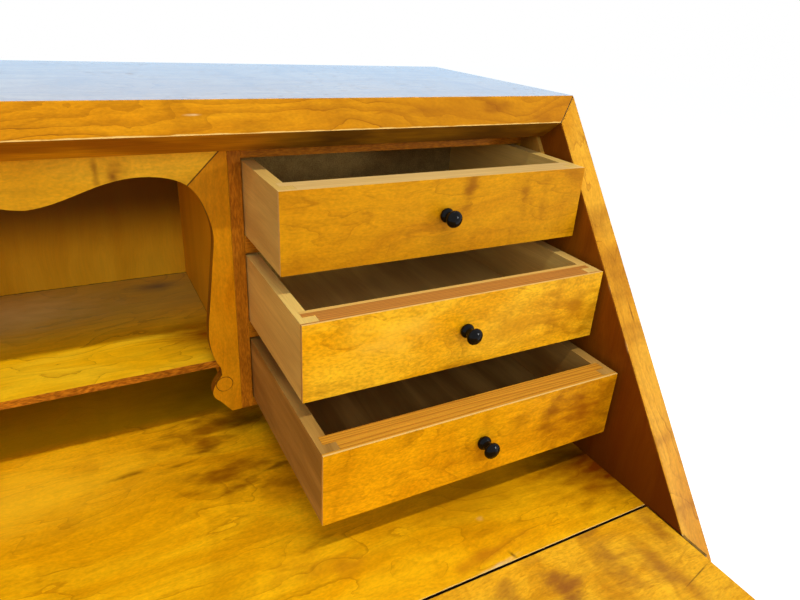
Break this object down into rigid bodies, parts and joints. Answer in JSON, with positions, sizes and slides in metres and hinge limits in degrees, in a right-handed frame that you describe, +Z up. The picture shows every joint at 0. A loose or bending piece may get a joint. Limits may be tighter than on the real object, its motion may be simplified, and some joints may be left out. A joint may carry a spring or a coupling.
{
  "type": "fall-front writing desk",
  "caption": "Slant-front writing desk: a fold-down fall on pull-out supports, small drawers beside a pigeonhole with scalloped valance, long drawers below on bracket feet.",
  "frame": {"origin": "on the floor, midway across the desk and midway between its back and the front edge of the opened fall", "axes": "+Z up, +Y towards the back of the desk, +X to the right of someone sitting at it"},
  "size_m": [0.9, 0.7958, 1.056],
  "materials": {
    "golden_birch": "gloss lacquer over figured veneer",
    "pale_birch": "satin, planed",
    "stained_birch": "satin, stained",
    "carcase_softwood": "planed, bare",
    "black_lacquer": "gloss black lacquer",
    "hinge_steel": "brushed"
  },
  "bodies": {
    "carcase": {"side_right": "golden_birch", "side_left": "golden_birch", "top_board": "golden_birch", "top_rail": "stained_birch", "back_panel": "carcase_softwood", "writing_board": "golden_birch", "side_hinge_plates": "hinge_steel", "fall_stops": "stained_birch", "divider_right": "stained_birch", "divider_left": "stained_birch", "case_sides": "stained_birch", "case_tops": "stained_birch", "partitions_right": "stained_birch", "partitions_left": "stained_birch", "shelf": "stained_birch", "valance": "golden_birch", "bracket_right": "golden_birch", "bracket_left": "golden_birch", "rosettes": "golden_birch", "front_rails": "golden_birch", "drawer_runners": "carcase_softwood", "loper_guides": "carcase_softwood", "bottom_board": "carcase_softwood", "base_front": "golden_birch", "base_sides": "golden_birch", "base_back": "carcase_softwood", "glue_blocks": "carcase_softwood"},
    "fall": {"fall_board": "golden_birch", "fall_hinge_plates": "hinge_steel", "fall_knobs": "black_lacquer"},
    "small_drawer_right_1": {"small_front_right_1": "golden_birch", "small_box_right_1": "pale_birch", "small_knob_right_1": "black_lacquer"},
    "small_drawer_right_2": {"small_front_right_2": "golden_birch", "small_box_right_2": "pale_birch", "small_knob_right_2": "black_lacquer"},
    "small_drawer_right_3": {"small_front_right_3": "golden_birch", "small_box_right_3": "pale_birch", "small_knob_right_3": "black_lacquer"},
    "small_drawer_left_1": {"small_front_left_1": "golden_birch", "small_box_left_1": "pale_birch", "small_knob_left_1": "black_lacquer"},
    "small_drawer_left_2": {"small_front_left_2": "golden_birch", "small_box_left_2": "pale_birch", "small_knob_left_2": "black_lacquer"},
    "small_drawer_left_3": {"small_front_left_3": "golden_birch", "small_box_left_3": "pale_birch", "small_knob_left_3": "black_lacquer"},
    "long_drawer_1": {"long_front_1": "golden_birch", "long_box_1": "pale_birch", "long_knobs_1": "black_lacquer"},
    "long_drawer_2": {"long_front_2": "golden_birch", "long_box_2": "pale_birch", "long_knobs_2": "black_lacquer"},
    "long_drawer_3": {"long_front_3": "golden_birch", "long_box_3": "pale_birch", "long_knobs_3": "black_lacquer"},
    "loper_left_bar": {"loper_left": "golden_birch"},
    "loper_right_bar": {"loper_right": "golden_birch"}
  },
  "joints": [
    {"name": "fall_hinge", "type": "hinge", "parent": "carcase", "child": "fall", "pos_m": [0, -0.05295, 0.742], "axis": [1, 0, 0], "range_deg": [-127.1, 0]},
    {"name": "small_slide_right_1", "type": "slide", "parent": "carcase", "child": "small_drawer_right_1", "axis": [0, -1, 0], "range_m": [-0.09096, 0.09259]},
    {"name": "small_slide_right_2", "type": "slide", "parent": "carcase", "child": "small_drawer_right_2", "axis": [0, -1, 0], "range_m": [-0.134, 0.04956]},
    {"name": "small_slide_right_3", "type": "slide", "parent": "carcase", "child": "small_drawer_right_3", "axis": [0, -1, 0], "range_m": [-0.17295, 0.0106]},
    {"name": "small_slide_left_1", "type": "slide", "parent": "carcase", "child": "small_drawer_left_1", "axis": [0, -1, 0], "range_m": [0, 0.18356]},
    {"name": "small_slide_left_2", "type": "slide", "parent": "carcase", "child": "small_drawer_left_2", "axis": [0, -1, 0], "range_m": [0, 0.18356]},
    {"name": "small_slide_left_3", "type": "slide", "parent": "carcase", "child": "small_drawer_left_3", "axis": [0, -1, 0], "range_m": [0, 0.18356]},
    {"name": "long_slide_1", "type": "slide", "parent": "carcase", "child": "long_drawer_1", "axis": [0, -1, 0], "range_m": [0, 0.34]},
    {"name": "long_slide_2", "type": "slide", "parent": "carcase", "child": "long_drawer_2", "axis": [0, -1, 0], "range_m": [0, 0.34]},
    {"name": "long_slide_3", "type": "slide", "parent": "carcase", "child": "long_drawer_3", "axis": [0, -1, 0], "range_m": [0, 0.34]},
    {"name": "loper_slide_left", "type": "slide", "parent": "carcase", "child": "loper_left_bar", "axis": [0, -1, 0], "range_m": [-0.23, 0]},
    {"name": "loper_slide_right", "type": "slide", "parent": "carcase", "child": "loper_right_bar", "axis": [0, -1, 0], "range_m": [-0.23, 0]}
  ],
  "couplings": [
    {"joint": "small_slide_right_1", "follows": "fall_hinge", "m_per_rad": 0.041005},
    {"joint": "small_slide_right_2", "follows": "fall_hinge", "m_per_rad": 0.060404},
    {"joint": "small_slide_right_3", "follows": "fall_hinge", "m_per_rad": 0.077964}
  ]
}
